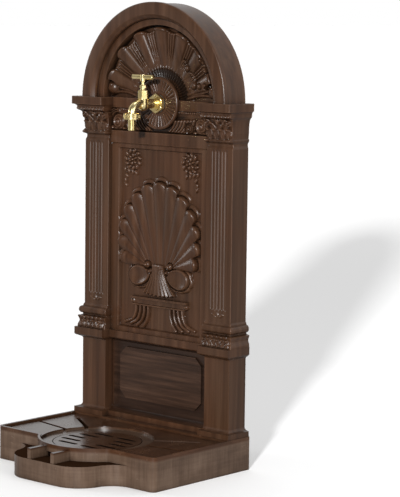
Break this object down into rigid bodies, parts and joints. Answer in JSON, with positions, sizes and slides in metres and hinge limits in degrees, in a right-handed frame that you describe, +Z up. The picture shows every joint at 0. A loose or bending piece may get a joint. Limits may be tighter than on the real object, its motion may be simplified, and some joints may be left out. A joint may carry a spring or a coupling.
{
  "type": "freestanding basin fountain",
  "caption": "Garden water column with a dished drain basin, fluted pilasters, shell and fan relief, a round arched top and a brass hose tap.",
  "frame": {"origin": "on the floor, under the middle of the bounding box", "axes": "+Z up, +Y towards the flat back, -Y towards the front where the tap's spout points, +X to the right seen from the front"},
  "size_m": [0.374, 0.32, 0.8],
  "materials": {
    "moulded_brown": "moulded plastic, satin, fine streaks",
    "cover_plastic": "moulded plastic, matte",
    "brass": "turned and polished, unlacquered",
    "zinc_steel": "zinc plated",
    "rubber_black": "matte",
    "hose_green": "matte garden hose"
  },
  "bodies": {
    "fountain": {"base_tray": "moulded_brown", "pedestal_front": "moulded_brown", "pedestal_back": "cover_plastic", "shaft_front": "moulded_brown", "shaft_back": "cover_plastic", "crown_front": "moulded_brown", "crown_back": "cover_plastic", "cover_screws": "zinc_steel", "assembly_screws": "zinc_steel", "tap_rosette": "moulded_brown", "flange_gasket": "rubber_black", "wall_flange": "brass", "tap_body": "brass", "bonnet": "brass", "gland_packing": "rubber_black", "gland_nut": "brass", "back_nut": "brass", "tap_elbow": "brass", "riser_hose": "hose_green", "hose_clamps": "zinc_steel", "riser_clips": "cover_plastic", "inlet_connector": "brass"},
    "grate": {"drain_grate": "moulded_brown"},
    "valve": {"jumper_valve": "brass", "seat_washer": "rubber_black"},
    "spindle": {"spindle": "brass", "tee_handle": "brass", "handle_screw": "zinc_steel"},
    "tail": {"hose_tail": "brass", "union_washer": "rubber_black"},
    "nut": {"union_nut": "brass"}
  },
  "joints": [
    {"name": "grate_lift", "type": "slide", "parent": "fountain", "child": "grate", "axis": [0, 0, 1], "range_m": [0, 0.04]},
    {"name": "valve_rise", "type": "slide", "parent": "fountain", "child": "valve", "axis": [0, 0, 1], "range_m": [0, 0.003]},
    {"name": "handle_turn", "type": "hinge", "parent": "valve", "child": "spindle", "pos_m": [0, 0.083, 0.6712], "axis": [0, 0, 1], "range_deg": [0, 540]},
    {"name": "tail_drop", "type": "slide", "parent": "fountain", "child": "tail", "axis": [0, 0, -1], "range_m": [0, 0.00726]},
    {"name": "nut_turn", "type": "hinge", "parent": "tail", "child": "nut", "pos_m": [0, 0.056, 0.604], "axis": [0, 0, -1], "range_deg": [0, 1440]}
  ],
  "couplings": [
    {"joint": "valve_rise", "follows": "handle_turn", "m_per_rad": 0.0003183},
    {"joint": "tail_drop", "follows": "nut_turn", "m_per_rad": 0.0002887}
  ]
}
